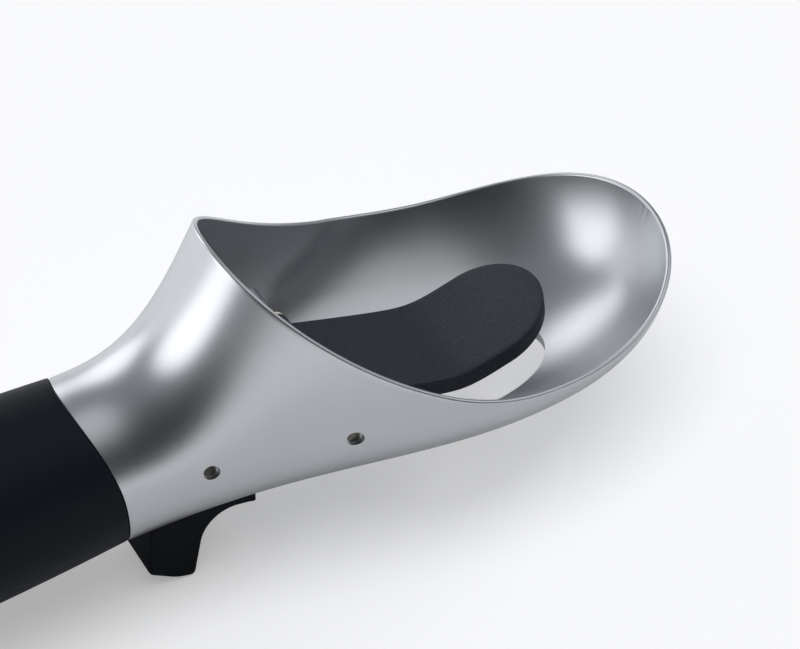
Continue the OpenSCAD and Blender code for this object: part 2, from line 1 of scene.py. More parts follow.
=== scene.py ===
# %% [markdown]
# # A lever ice cream scoop
# The imported model gives every piece its place. This script dresses it: a smooth cast head in
# satin aluminium, a black handle, a grained black paddle and trigger, steel pins, soft light.
#
# ## 1. The frame
# The imported model and its record are read in. Blender counts in metres and the sizes below
# are in millimetres, so `MM` turns one into the other.

import json
import math

import bmesh
import bpy
import numpy as np
from mathutils import Matrix, Vector
from mathutils.kdtree import KDTree


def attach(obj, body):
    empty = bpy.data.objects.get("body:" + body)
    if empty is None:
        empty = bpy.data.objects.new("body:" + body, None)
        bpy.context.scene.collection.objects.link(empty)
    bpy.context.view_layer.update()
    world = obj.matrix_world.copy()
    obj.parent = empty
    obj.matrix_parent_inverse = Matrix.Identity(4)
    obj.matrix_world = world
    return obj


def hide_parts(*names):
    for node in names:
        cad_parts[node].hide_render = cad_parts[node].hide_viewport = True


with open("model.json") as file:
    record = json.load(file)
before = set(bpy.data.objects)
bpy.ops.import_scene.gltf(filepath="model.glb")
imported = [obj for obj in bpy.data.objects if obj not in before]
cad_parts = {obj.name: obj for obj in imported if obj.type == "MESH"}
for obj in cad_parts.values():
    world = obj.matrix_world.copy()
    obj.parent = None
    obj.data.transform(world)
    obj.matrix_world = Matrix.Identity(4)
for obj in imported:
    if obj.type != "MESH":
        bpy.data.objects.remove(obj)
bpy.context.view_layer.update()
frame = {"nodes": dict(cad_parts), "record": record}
MM = 0.001

# %% [markdown]
# ## 2. Shared sizes
# These repeat sizes that the part's source names, for the places where pieces meet: the neck and
# its wall, the joint with the handle, the two pins and the bushes round them. X runs from the
# handle to the bowl's lip, and Z up out of the bowl. A size of one piece stands in its own cell.

# %% Sizes that several pieces share, in millimetres
NECK_R = 15.65
WALL = 2.3
JOINT_X = 1.3
TRIGGER_PIN = (17.0, 1.4)
PADDLE_PIN = (41.5, 2.0)
BUSH_R = 2.26
TRIGGER_W = 15.0
print("neck", 2 * NECK_R, "mm; pins", round(math.dist(TRIGGER_PIN, PADDLE_PIN), 2), "mm apart")

# %% [markdown]
# ## 3. The camera
# It stands high on the near side and looks at the head from a little behind, with a long lens
# that hardly makes near things larger. It leans over, so the scoop rises to the right across the
# picture. Its place and its three angles were fitted to the scoop's outline. The angles give
# three directions, and these are the columns of the camera's matrix.

# %% Camera
CAMERA_PLACE = (-124.8, -505.6, 465.05)
CAMERA_HEIGHT_ANGLE = 40.72
CAMERA_SIDE_ANGLE = 20.22
CAMERA_ROLL = -8.97
CAMERA_LENS = 180.0
CAMERA_SENSOR = 36.0
NEAREST_M = 0.01
FARTHEST_M = 50.0


def new_object(name, data):
    """An object with this data, linked to the scene."""
    made = bpy.data.objects.new(name, data)
    bpy.context.scene.collection.objects.link(made)
    return made


def camera_axes(height, side, roll):
    """The camera's right, up and back directions."""
    back = Vector((-math.sin(side) * math.cos(height), -math.cos(side) * math.cos(height),
                   math.sin(height)))
    level = Vector((math.cos(side), -math.sin(side), 0))
    upright = back.cross(level)
    right = level * math.cos(roll) + upright * math.sin(roll)
    return right, back.cross(right), back


camera_data = bpy.data.cameras.new("camera")
camera_data.lens = CAMERA_LENS
camera_data.sensor_width = CAMERA_SENSOR
camera_data.sensor_fit = "HORIZONTAL"
camera_data.clip_start = NEAREST_M
camera_data.clip_end = FARTHEST_M
camera = new_object("camera", camera_data)
camera_angles = (CAMERA_HEIGHT_ANGLE, CAMERA_SIDE_ANGLE, CAMERA_ROLL)
turn = Matrix(camera_axes(*[math.radians(a) for a in camera_angles])).transposed().to_4x4()
camera.matrix_world = Matrix.Translation(Vector(CAMERA_PLACE) * MM) @ turn
bpy.context.scene.camera = camera
bpy.context.scene.view_settings.view_transform = "Standard"
print("camera at", [round(c, 3) for c in camera.location])

# %% [markdown]
# ## 4. Materials
# A finish could be one flat colour, but a real surface varies a little everywhere. So each
# material is a small node tree, in which noise moves the colour, the roughness and the bump.
# Colours are written as sRGB hex and turned linear by one function. `add` makes a node, sets its
# inputs and links it in one call. Object coordinates are in metres, so `per_mm` turns a size in
# millimetres into a noise scale.

# %% Helpers for colours and nodes
def linear(colour):
    """An sRGB hex colour as linear RGBA."""
    parts = [int(colour[i:i + 2], 16) / 255 for i in (1, 3, 5)]
    return [p / 12.92 if p <= 0.04045 else ((p + 0.055) / 1.055) ** 2.4 for p in parts] + [1.0]


def per_mm(size):
    """The noise scale that gives features of about this size in millimetres."""
    return 1 / (size * MM)


def add(tree, kind, links=None, **values):
    """A node with settings and inputs by name (underscores for spaces), linked to outputs."""
    node = tree.nodes.new(kind)
    for name, value in values.items():
        if hasattr(node, name):
            setattr(node, name, value)
        else:
            node.inputs[name.replace("_", " ")].default_value = value
    for name, output in (links or {}).items():
        tree.links.new(output, node.inputs[name])
    return node


def new_material(name, **values):
    """A material with one Principled shader: returns it, its tree and the shader."""
    material = bpy.data.materials.new(name)
    material.use_nodes = True
    tree = material.node_tree
    shader = tree.nodes["Principled BSDF"]
    for key, value in values.items():
        shader.inputs[key.replace("_", " ")].default_value = value
    return material, tree, shader


print("middle grey in linear light:", round(linear("#808080")[0], 3))

# %% [markdown]
# ### Satin cast aluminium
# The head is an aluminium casting that was blasted with fine beads and left bare. Blasting turns
# a mirror into a sheen: the metal still shows what stands round it, but as wide soft patches.
# A metallic shader with one roughness would give that sheen, but so even a surface looks
# painted. So patches of 14 mm vary tone and sheen a little, as blasting by hand does. The pits
# are finer than the picture can show, so their bump is drawn at a quarter of a millimetre.

# %% Satin cast aluminium
BLAST_GRAIN = 0.25
BLAST_DEPTH = 0.02
SHEEN_PATCH = 14.0


def cast_aluminium():
    """A soft, slightly uneven metal sheen over a very fine grain."""
    material, tree, shader = new_material("satin cast aluminium", Metallic=1.0)
    place = add(tree, "ShaderNodeTexCoord").outputs["Object"]
    grain = add(tree, "ShaderNodeTexNoise", {"Vector": place},
                Scale=per_mm(BLAST_GRAIN), Detail=2.0).outputs["Fac"]
    patch = add(tree, "ShaderNodeTexNoise", {"Vector": place},
                Scale=per_mm(SHEEN_PATCH), Detail=3.0).outputs["Fac"]
    tint = add(tree, "ShaderNodeMix", {"Factor": patch}, data_type="RGBA",
               A=linear("#C6C9CD"), B=linear("#D2D4D7"))
    rough = add(tree, "ShaderNodeMapRange", {"Value": patch}, To_Min=0.31, To_Max=0.36)
    bump = add(tree, "ShaderNodeBump", {"Height": grain}, Strength=0.12,
               Distance=BLAST_DEPTH * MM)
    tree.links.new(tint.outputs["Result"], shader.inputs["Base Color"])
    tree.links.new(rough.outputs["Result"], shader.inputs["Roughness"])
    tree.links.new(bump.outputs["Normal"], shader.inputs["Normal"])
    return material


aluminium = cast_aluminium()
print("made", aluminium.name)

# %% [markdown]
# ### Moulded plastics and rubber
# The handle is a hard plastic from a smooth mould, with a calm soft shine. Paddle and trigger are
# nylon from moulds with a spark-eroded texture, whose fine even grain breaks up the gloss. The
# paddle's nylon is filled, and shows faint pale specks. The bushes are nylon without colour, and
# the seals are rubber, which is the dullest. Each could have a node tree of its own, but they
# differ in numbers only, so one function makes them all: grain between two tones, an uneven
# sheen in patches of 9 mm, and a low bump. A grain of a tenth of a millimetre would not show, so
# it is drawn two to four times as coarse.

# %% A function for moulded finishes
MOULD_DEPTH = 0.04
MOULD_PATCH = 9.0
SPECK_SIZE = 0.28
SPECK_FROM, SPECK_TO = 0.63, 0.78


def moulded(name, dark, light, rough_low, rough_high, grain_mm, bump_share, gloss=0.5,
            specks=None):
    """A moulded plastic or rubber, with pale specks where their colour is given."""
    material, tree, shader = new_material(name, Specular_IOR_Level=gloss)
    place = add(tree, "ShaderNodeTexCoord").outputs["Object"]
    grain = add(tree, "ShaderNodeTexNoise", {"Vector": place},
                Scale=per_mm(grain_mm), Detail=3.0).outputs["Fac"]
    patch = add(tree, "ShaderNodeTexNoise", {"Vector": place},
                Scale=per_mm(MOULD_PATCH), Detail=2.0).outputs["Fac"]
    tint = add(tree, "ShaderNodeMix", {"Factor": grain}, data_type="RGBA",
               A=linear(dark), B=linear(light))
    rough = add(tree, "ShaderNodeMapRange", {"Value": patch}, To_Min=rough_low, To_Max=rough_high)
    bump = add(tree, "ShaderNodeBump", {"Height": grain}, Strength=bump_share,
               Distance=MOULD_DEPTH * MM)
    if specks:
        dots = add(tree, "ShaderNodeTexNoise", {"Vector": place},
                   Scale=per_mm(SPECK_SIZE), Detail=1.0).outputs["Fac"]
        peaks = add(tree, "ShaderNodeMapRange", {"Value": dots}, From_Min=SPECK_FROM,
                    From_Max=SPECK_TO, interpolation_type="SMOOTHSTEP").outputs["Result"]
        tint = add(tree, "ShaderNodeMix", {"Factor": peaks, "A": tint.outputs["Result"]},
                   data_type="RGBA", B=linear(specks))
    tree.links.new(tint.outputs["Result"], shader.inputs["Base Color"])
    tree.links.new(rough.outputs["Result"], shader.inputs["Roughness"])
    tree.links.new(bump.outputs["Normal"], shader.inputs["Normal"])
    return material


print("specks of about", SPECK_SIZE, "mm")

# %% The moulded finishes
handle_black = moulded("satin black handle plastic", "#0F141A", "#161B21",
                       rough_low=0.46, rough_high=0.52, grain_mm=0.35, bump_share=0.08, gloss=0.1)
paddle_black = moulded("grained black paddle nylon", "#181C23", "#2A2F39",
                       rough_low=0.46, rough_high=0.56, grain_mm=0.30, bump_share=0.5,
                       gloss=0.35, specks="#454B56")
trigger_black = moulded("moulded black trigger nylon", "#0A0D11", "#14191D",
                        rough_low=0.55, rough_high=0.62, grain_mm=0.25, bump_share=0.15,
                        gloss=0.1)
rubber = moulded("black rubber", "#0C0C0D", "#17171A",
                 rough_low=0.60, rough_high=0.70, grain_mm=0.40, bump_share=0.2)
nylon = moulded("natural nylon", "#D8D2C2", "#E4DFD1",
                rough_low=0.40, rough_high=0.48, grain_mm=0.40, bump_share=0.1)
print("materials so far:", len(bpy.data.materials))

# %% [markdown]
# ### Ground steel
# Pins, washers and clips are ground steel that has dulled with use. New pins would want a fine
# streaked pattern. But in their recesses these look warm and spotted, so noise of half a
# millimetre moves the tone between two warm greys.

# %% Ground steel
STEEL_SPOT = 0.5
STEEL_DEPTH = 0.03


def ground_steel():
    """A warm grey steel, a little dulled and spotted."""
    material, tree, shader = new_material("ground steel", Metallic=1.0, Roughness=0.42)
    place = add(tree, "ShaderNodeTexCoord").outputs["Object"]
    spots = add(tree, "ShaderNodeTexNoise", {"Vector": place},
                Scale=per_mm(STEEL_SPOT), Detail=4.0).outputs["Fac"]
    tint = add(tree, "ShaderNodeMix", {"Factor": spots}, data_type="RGBA",
               A=linear("#6E6962"), B=linear("#A39C92"))
    bump = add(tree, "ShaderNodeBump", {"Height": spots}, Strength=0.3,
               Distance=STEEL_DEPTH * MM)
    tree.links.new(tint.outputs["Result"], shader.inputs["Base Color"])
    tree.links.new(bump.outputs["Normal"], shader.inputs["Normal"])
    return material


steel = ground_steel()
print("materials:", len(bpy.data.materials))

# %% [markdown]
# ## 5. The head
# The head is one casting, a round neck that swells into a hooded oval bowl. It could be shaped
# by hand from a subdivided cage. But the part's source states its form as formulas, so the same
# formulas are used here with far more sections, and the metal reflects without facets. The form
# is a bag along X. Each section has a half width, a widest line and two elliptical halves.

# %% Curves along the head
WIDE_X = 75.2
HALF_W = 31.4
DROP = 17.3
END_X = 112.85
MID_Z = 8.2
FULLNESS = 2.5
HOOD_RISE = 28.6
HOOD_REACH = 34.7
HOOD_END_X = 60.0
WIDTH_SHARES = (0, 0, 0.058, 0.654, 1, 1)
BOTTOM_SHARES = (0, 0, 0.07, -0.2, 1, 1)
MID_SHARES = (0, 0, 1.22, 1)
TOP_SHARES = (0, 0, -0.018, 0.583, 1)


def mix(low, high, share):
    """The value at a share of the way from low to high."""
    return low * (1 - share) + high * share


def bezier(controls, s):
    """A Bezier curve with evenly spaced controls, at a share s of its length."""
    n = len(controls) - 1
    return sum(math.comb(n, k) * (1 - s) ** (n - k) * s ** k * c for k, c in enumerate(controls))


def closing(x):
    """How the bowl closes from its widest place to the lip: from 1 down to 0."""
    share = np.clip((x - WIDE_X) / (END_X - WIDE_X), 0, 1)
    return np.sqrt(np.maximum(1 - share ** FULLNESS, 0))


def half_width(x):
    """Half the head's width."""
    body = mix(NECK_R, HALF_W, bezier(WIDTH_SHARES, np.minimum(x / WIDE_X, 1)))
    return np.where(x < WIDE_X, body, HALF_W * closing(x))


def mid_z(x):
    """The height of the widest line."""
    return MID_Z * bezier(MID_SHARES, x / END_X)


def bottom_z(x):
    """The height of the underside."""
    body = -mix(NECK_R, DROP, bezier(BOTTOM_SHARES, np.minimum(x / WIDE_X, 1)))
    return np.where(x < WIDE_X, body, mid_z(x) - (mid_z(x) + DROP) * closing(x))


def top_z(x):
    """The height of the neck's and hood's top."""
    return NECK_R + HOOD_RISE * bezier(TOP_SHARES, np.minimum(x, HOOD_END_X) / HOOD_REACH)


print("bowl", 2 * HALF_W, "mm wide; head", END_X, "mm long")

# %% Points and directions on the outside
SLOPE_STEP = 0.01


def half_height(x, above):
    """The height of a section's upper or lower half."""
    return np.where(above, top_z(x) - mid_z(x), mid_z(x) - bottom_z(x))


def outside(x, a):
    """Points on the head's outside at x and section angle a in radians."""
    height = half_height(x, np.sin(a) > 0)
    return np.stack([x, half_width(x) * np.cos(a), mid_z(x) + height * np.sin(a)], -1)


def outward(x, a):
    """The outward direction at the same places."""
    along = outside(x + SLOPE_STEP, a) - outside(x - SLOPE_STEP, a)
    height = half_height(x, np.sin(a) > 0)
    around = np.stack([np.zeros_like(x), -half_width(x) * np.sin(a), height * np.cos(a)], -1)
    across = np.cross(around, along)
    return across / np.linalg.norm(across, axis=-1, keepdims=True)


def rim_angle(x, z):
    """The section angle at which the outside has this height."""
    height = half_height(x, z > mid_z(x))
    return np.arcsin(np.clip((z - mid_z(x)) / height, -1, 1))


print("outside at the trigger's pin:", outside(np.array(TRIGGER_PIN[0]), np.array(0.0)).round(2))

# %% [markdown]
# ### The mouth and the joint
# One Bezier curve in side view cuts the bag open, which gives hood and mouth in one sweep. The
# mesh stops half the edge's thickness short of that curve, because a half-round band closes the
# rest. At the other end, a circle in side view is the line where the head meets the handle.

# %% The mouth's edge and the joint's line in side view
HOOD_X = 28.8
LIP_TRIM = 0.18
RIM_X_SHARES = (0, 0.215, 0.527, 1)
RIM_Z_SHARES = (0, 0.881, 1.502, 1)
RIM_T = 0.9
RIM_ROUND = RIM_T / 2
SHARE_STEP = 0.001
HALVINGS = 50
JOINT_SWEEP = 3.3
lip_x = END_X - LIP_TRIM
rim_start = (HOOD_X, float(top_z(np.array(HOOD_X))))
rim_end = (lip_x, float(bottom_z(np.array(lip_x))))
joint_r = (NECK_R ** 2 + JOINT_SWEEP ** 2) / (2 * JOINT_SWEEP)


def mouth(t, inset=0.0):
    """The mouth's edge at a share t of its curve, moved this far into the wall."""
    curves = list(zip(rim_start, rim_end, (RIM_X_SHARES, RIM_Z_SHARES)))
    x, z = [mix(a, b, bezier(shares, t)) for a, b, shares in curves]
    dx, dz = [(b - a) * (bezier(shares, t + SHARE_STEP) - bezier(shares, t - SHARE_STEP))
              for a, b, shares in curves]
    length = math.hypot(dx, dz)
    return x + inset * dz / length, z - inset * dx / length


def meet(within, beyond):
    """The share at which the inset line leaves the bag's side view, by halving."""
    for _ in range(HALVINGS):
        t = (within + beyond) / 2
        x, z = mouth(t, RIM_ROUND)
        if bottom_z(np.array(x)) < z < top_z(np.array(x)):
            within = t
        else:
            beyond = t
    return within


def joint_line(z):
    """Where the head meets the handle, along X, at a height."""
    circle = joint_r ** 2 - np.minimum(z, NECK_R) ** 2
    return np.where(z < 0, JOINT_X, JOINT_X - joint_r + np.sqrt(circle))


first_t = meet(0.02, -0.05)
last_t = meet(0.98, 1.0)
hood_x = mouth(first_t, RIM_ROUND)[0]
print("mouth from", [round(v, 1) for v in rim_start], "to", [round(v, 1) for v in rim_end])

# %% [markdown]
# ### The head as a mesh
# A boolean could cut the mouth out of a closed bag, but it would leave uneven faces along the
# edge, where the metal glints most. So the grid itself ends on the edge: rings run from the joint
# to the hood's rear edge, and open sections run on to the lip. The grid is laid once on the
# outside and once on the inside, where the wall thins out towards the mouth's edge. A search
# tree of points along that edge gives the distance to it.

# %% The grid of places and angles
CLOSED_ROWS = 48
OPEN_ROWS = 150
LAST = CLOSED_ROWS + OPEN_ROWS
COLUMNS = 144


def head_grid(ring_r):
    """Places along X and section angles, rows by columns, where the joint's ring is this wide."""
    share = 2 * np.arange(COLUMNS + 1) / COLUMNS - 1
    whole = -math.pi / 2 + math.pi * share
    rows = [(mix(joint_line(ring_r * np.sin(whole)), hood_x, i / CLOSED_ROWS), whole)
            for i in range(CLOSED_ROWS + 1)]
    for i in range(1, OPEN_ROWS + 1):
        t = mix(first_t, last_t, (1 - math.cos(math.pi * i / OPEN_ROWS)) / 2)
        x, z = mouth(t, RIM_ROUND)
        reach = math.pi / 2 + float(rim_angle(np.array(x), np.array(z))) if i < OPEN_ROWS else 0
        rows.append((np.full(COLUMNS + 1, x), -math.pi / 2 + reach * share))
    return np.array([r[0] for r in rows]), np.array([r[1] for r in rows])


def spot(i, j):
    """A grid point's number: the rings' seam is one column and the lip's end one point."""
    if i == LAST or (i <= CLOSED_ROWS and j == COLUMNS):
        j = 0
    return i * (COLUMNS + 1) + j


front_x, front_a = head_grid(NECK_R)
back_x, back_a = head_grid(NECK_R - WALL)
print("grid of", front_x.shape[0], "rows and", front_x.shape[1], "columns")

# %% The wall's thickness
RIM_TAPER = 14.0
EDGE_SAMPLES = 3000
edge_tree = KDTree(2 * EDGE_SAMPLES + 2)
for k in range(EDGE_SAMPLES + 1):
    edge_x, edge_z = mouth(k / EDGE_SAMPLES)
    edge_point = outside(np.array(edge_x), rim_angle(np.array(edge_x), np.array(edge_z)))
    for side in (-1, 1):
        edge_tree.insert(edge_point * (1, side, 1), k)
edge_tree.balance()


def wall_at(points):
    """The wall's thickness at points of the outside, from their distance to the mouth's edge."""
    gap = np.array([edge_tree.find(p)[2] for p in points])
    return mix(WALL, RIM_T, (1 - np.minimum(gap / RIM_TAPER, 1)) ** 2)[:, None]


print("wall", WALL, "mm, and", RIM_T, "mm at the mouth's edge")

# %% The two skins, and the way out at the rim
outer_skin = outside(front_x, front_a).reshape(-1, 3)
back_skin = outside(back_x, back_a).reshape(-1, 3)
inner_skin = back_skin - outward(back_x, back_a).reshape(-1, 3) * wall_at(back_skin)
rim_spots = [spot(i, COLUMNS) for i in range(CLOSED_ROWS, LAST)]
rim_spots += [spot(i, 0) for i in range(LAST, CLOSED_ROWS, -1)]
rim_points = outer_skin[rim_spots]
rim_tangent = np.roll(rim_points, -1, 0) - np.roll(rim_points, 1, 0)
rim_out = np.cross(rim_tangent, outward(front_x, front_a).reshape(-1, 3)[rim_spots])
rim_out /= np.linalg.norm(rim_out, axis=1, keepdims=True)
# The mouth opens upwards, so the way out of it points up along most of the rim.
rim_out *= np.sign(rim_out[:, 2].sum())
print("grid points:", len(outer_skin), "rim points:", len(rim_spots))

# %% [markdown]
# ### Joining the skins
# The inner skin's faces turn the other way. A ring of faces closes the joint, and half-round
# rings from the outside's edge to the inside's give the mouth the soft edge of a tumbled casting.

# %% Faces of the head
RIM_STEPS = 8


def rim_rings(verts, layer):
    """Rings of vertex numbers round the mouth, from the outside's edge to the inside's."""
    rings = [list(rim_spots)]
    for k in range(1, RIM_STEPS):
        angle = math.pi * k / RIM_STEPS
        share = (1 - math.cos(angle)) / 2
        rings.append(list(range(len(verts), len(verts) + len(rim_spots))))
        for n, s in enumerate(rim_spots):
            point = (outer_skin[s] * (1 - share) + inner_skin[s] * share
                     + rim_out[n] * RIM_ROUND * math.sin(angle))
            verts.append(tuple(point))
    return rings + [[s + layer for s in rim_spots]]


def head_mesh():
    """Points and faces of the whole casting, before the cuts."""
    verts = [tuple(p) for p in outer_skin] + [tuple(p) for p in inner_skin]
    layer = len(outer_skin)
    faces = []

    def face(*corners):
        kept = [c for k, c in enumerate(corners) if c != corners[k - 1]]
        if len(kept) > 2:
            faces.append(kept)

    for i in range(LAST):
        for j in range(COLUMNS):
            a, b, c, d = spot(i, j), spot(i, j + 1), spot(i + 1, j + 1), spot(i + 1, j)
            face(a, b, c, d)
            face(d + layer, c + layer, b + layer, a + layer)
    for j in range(COLUMNS):
        a, b = spot(0, j), spot(0, j + 1)
        face(b, a, a + layer, b + layer)
    rings = rim_rings(verts, layer)
    for low, high in zip(rings, rings[1:]):
        for n in range(len(low)):
            m = (n + 1) % len(low)
            face(low[n], high[n], high[m], low[m])
    return verts, faces


def drop_unused(verts, faces):
    """Keeps only the vertices that faces use."""
    used = sorted({v for f in faces for v in f})
    number = {v: k for k, v in enumerate(used)}
    return [verts[v] for v in used], [[number[v] for v in f] for f in faces]


head_verts, head_faces = drop_unused(*head_mesh())
print("head points:", len(head_verts), "faces:", len(head_faces))

# %% [markdown]
# ### From points to a piece
# Every piece comes to life the same way. Its points become a mesh in metres, it rides on a body
# of the frame, and its faces are turned outwards. Once its form is complete, it is shaded smooth
# up to an angle, painted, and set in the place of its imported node. Smooth shading needs that
# angle: a wider bend between two faces stays a sharp edge, as on the real part.

# %% Helpers for pieces
def turn_outwards(mesh, weld=0.0):
    """Turns the faces outwards, welds points this close in metres, and counts open edges."""
    form = bmesh.new()
    form.from_mesh(mesh)
    if weld:
        bmesh.ops.remove_doubles(form, verts=form.verts, dist=weld)
    bmesh.ops.recalc_face_normals(form, faces=form.faces)
    open_edges = sum(1 for edge in form.edges if len(edge.link_faces) != 2)
    form.to_mesh(mesh)
    form.free()
    return open_edges


def new_piece(name, verts, faces, body, slot):
    """A piece in metres from points in millimetres, riding on a body; the slot argument is not
    used.
    """
    mesh = bpy.data.meshes.new(name)
    mesh.from_pydata([tuple(float(c) * MM for c in v) for v in verts], [], faces)
    mesh.validate()
    mesh.update()
    piece = new_object(name, mesh)
    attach(piece, body)
    return piece


def paint(piece, material):
    """The piece wears this material all over."""
    piece.data.materials.clear()
    piece.data.materials.append(material)


def dress(piece, material, smooth_angle):
    """Shades a piece smooth up to this angle in degrees, and paints it."""
    piece.data.shade_smooth()
    piece.data.set_sharp_from_angle(angle=math.radians(smooth_angle))
    paint(piece, material)
    print(piece.name, "in", material.name, "with", len(piece.data.polygons), "faces")


head = new_piece("head_casting", head_verts, head_faces, "head", "cast_aluminium")
print("open edges of the head:", turn_outwards(head.data))

# %% [markdown]
# ### Cuts in the head
# The window in the bowl's floor, the slot for the trigger and the round recesses over the pins'
# ends are cut with booleans, because each of them ends on a curved wall. The cutters are simple
# solids: rings of points with a cap at each end, or closed into a ring of their own.

# %% Helpers for solids of rings
def tube(rings, closed=False):
    """Points and faces from rings of equal length, capped, or closed from last to first."""
    steps = len(rings[0])
    verts = [point for ring in rings for point in ring]
    faces = []
    for r in range(len(rings) if closed else len(rings) - 1):
        n = (r + 1) % len(rings)
        for k in range(steps):
            m = (k + 1) % steps
            faces.append([r * steps + k, r * steps + m, n * steps + m, n * steps + k])
    if not closed:
        faces.append(list(range(steps))[::-1])
        faces.append(list(range(len(verts) - steps, len(verts))))
    return verts, faces


def lathe(outline, axis, centre, steps, closed=False):
    """A solid turned about an axis: the outline is (place along the axis, radius) in order."""
    along = Vector(axis).normalized()
    side = along.orthogonal().normalized()
    other = along.cross(side)
    rings = []
    for place, radius in outline:
        ring = []
        for k in range(steps):
            angle = 2 * math.pi * k / steps
            offset = side * (radius * math.cos(angle)) + other * (radius * math.sin(angle))
            ring.append(tuple(Vector(centre) + along * place + offset))
        rings.append(ring)
    return tube(rings, closed)


print("a square tube has", len(tube([[0, 1, 2, 3], [4, 5, 6, 7]])[1]), "faces")

# %% Helpers for cutters and cuts
def solid(name, verts, faces):
    """A loose helper solid in metres."""
    mesh = bpy.data.meshes.new(name)
    mesh.from_pydata([tuple(c * MM for c in v) for v in verts], [], faces)
    turn_outwards(mesh)
    return new_object(name, mesh)


def block(name, low, high):
    """A box between two corners."""
    xs, ys, zs = zip(low, high)
    corners = [(x, y, z) for x in xs for y in ys for z in zs]
    sides = [[0, 1, 3, 2], [4, 6, 7, 5], [0, 4, 5, 1], [2, 3, 7, 6], [0, 2, 6, 4], [1, 5, 7, 3]]
    return solid(name, corners, sides)


def cut(piece, cutter):
    """Takes the cutter out of the piece, then deletes it."""
    change = piece.modifiers.new("cut", "BOOLEAN")
    change.operation = "DIFFERENCE"
    change.object = cutter
    change.solver = "EXACT"
    bpy.context.view_layer.update()
    seen = piece.evaluated_get(bpy.context.evaluated_depsgraph_get())
    mesh = bpy.data.meshes.new_from_object(seen)
    piece.modifiers.remove(change)
    piece.data = mesh
    bpy.data.objects.remove(cutter)


print("head faces before the cuts:", len(head.data.polygons))

# %% Window, slot and recesses
PIN_STEPS = 48
CLEAR = 2.0
WINDOW_X = 66.4
WINDOW_LEN = 43.0
WINDOW_W = 27.0
WINDOW_STEPS = 180
WINDOW_CUT_Z = (-DROP - 1, -5)
SLOT_X = (1.8, 30.8)
SLOT_GAP = 0.4
SLOT_HALF = TRIGGER_W / 2 + SLOT_GAP
SLOT_TOP = SLOT_GAP - math.sqrt((NECK_R - WALL) ** 2 - SLOT_HALF ** 2)
SLOT_LOW_CORNER = (SLOT_X[0], -SLOT_HALF, -NECK_R - CLEAR)
RECESS_R = 1.5
RECESS = 1.0


def pin_face(pin):
    """Half the head's width at a pin."""
    return float(half_width(np.array(pin[0])))


window_angles = [2 * math.pi * k / WINDOW_STEPS for k in range(WINDOW_STEPS)]
window_rings = [[(WINDOW_X + WINDOW_LEN / 2 * math.cos(a), WINDOW_W / 2 * math.sin(a), z)
                 for a in window_angles] for z in WINDOW_CUT_Z]
cut(head, solid("window cutter", *tube(window_rings)))
cut(head, block("slot cutter", SLOT_LOW_CORNER, (SLOT_X[1], SLOT_HALF, SLOT_TOP)))
for pin in (TRIGGER_PIN, PADDLE_PIN):
    for side in (-1, 1):
        recess = [(pin_face(pin) - RECESS, RECESS_R), (pin_face(pin) + CLEAR, RECESS_R)]
        cut(head, solid("recess cutter", *lathe(recess, (0, side, 0), (pin[0], 0, pin[1]),
                                                PIN_STEPS)))
print("head faces after the cuts:", len(head.data.polygons))

# %% [markdown]
# ### The plug and the bosses
# The same casting has a plug in its neck, a spigot that goes into the handle, and a boss round
# each end of each pin. Booleans could join them too. But they are turned solids that reach into
# the wall, where nothing shows, so their meshes are simply added to the head's.

# %% Plug with its spigot, and the pins' bosses
TURN_STEPS = 96
BULKHEAD_BACK = JOINT_X + 0.3
BULKHEAD_FRONT = 2.6
BULKHEAD_R = NECK_R - WALL * 2 / 3
SHOULDER_R = 11.9
SHOULDER_BACK = -3.0
SPIGOT_R = 9.0
SPIGOT_BACK = -19.0
ROD_R = 3.01
ROD_BORE_END = SHOULDER_BACK - 0.4
CORE_EDGE = 0.4
CORE_SLOT_TOP = -12
BOSS_R = {TRIGGER_PIN: 4.2, PADDLE_PIN: 1.9}
BOSS_FROM = {TRIGGER_PIN: 8.7, PADDLE_PIN: pin_face(PADDLE_PIN) - WALL - 4}
CORE_OUTLINE = [
    (ROD_BORE_END, ROD_R), (SPIGOT_BACK, ROD_R), (SPIGOT_BACK, SPIGOT_R - CORE_EDGE),
    (SPIGOT_BACK + CORE_EDGE, SPIGOT_R), (SHOULDER_BACK, SPIGOT_R),
    (SHOULDER_BACK, SHOULDER_R - CORE_EDGE), (SHOULDER_BACK + CORE_EDGE, SHOULDER_R),
    (BULKHEAD_BACK, SHOULDER_R), (BULKHEAD_BACK, BULKHEAD_R), (BULKHEAD_FRONT, BULKHEAD_R),
]


def join(piece, *others):
    """Adds other meshes to a piece's own, then deletes the others."""
    form = bmesh.new()
    form.from_mesh(piece.data)
    for other in others:
        form.from_mesh(other.data)
        bpy.data.objects.remove(other)
    form.to_mesh(piece.data)
    form.free()


core = solid("core", *lathe(CORE_OUTLINE, (1, 0, 0), (0, 0, 0), TURN_STEPS))
cut(core, block("core slot cutter", SLOT_LOW_CORNER, (SLOT_X[1], SLOT_HALF, CORE_SLOT_TOP)))
bosses = []
for pin in (TRIGGER_PIN, PADDLE_PIN):
    for side in (-1, 1):
        boss = [(BOSS_FROM[pin], BOSS_R[pin] - CORE_EDGE / 2),
                (BOSS_FROM[pin] + CORE_EDGE / 2, BOSS_R[pin]),
                (pin_face(pin) - WALL / 2, BOSS_R[pin])]
        bosses.append(solid("boss", *lathe(boss, (0, side, 0), (pin[0], 0, pin[1]), PIN_STEPS)))
join(head, core, *bosses)
dress(head, aluminium, smooth_angle=35)
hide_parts("scoop_head")

# %% [markdown]
# ## 6. The paddle
# The paddle is one moulding: a bent blade with a round tip, a hub on its pin and a slotted tail
# that the trigger moves. The blade could be a subdivided plate, but its outline is exact: a
# stadium in plan that follows a rounded bend in side view. So it is built from rings. They start
# on the middle line of the top, grow to the edge, turn round it and shrink again underneath.

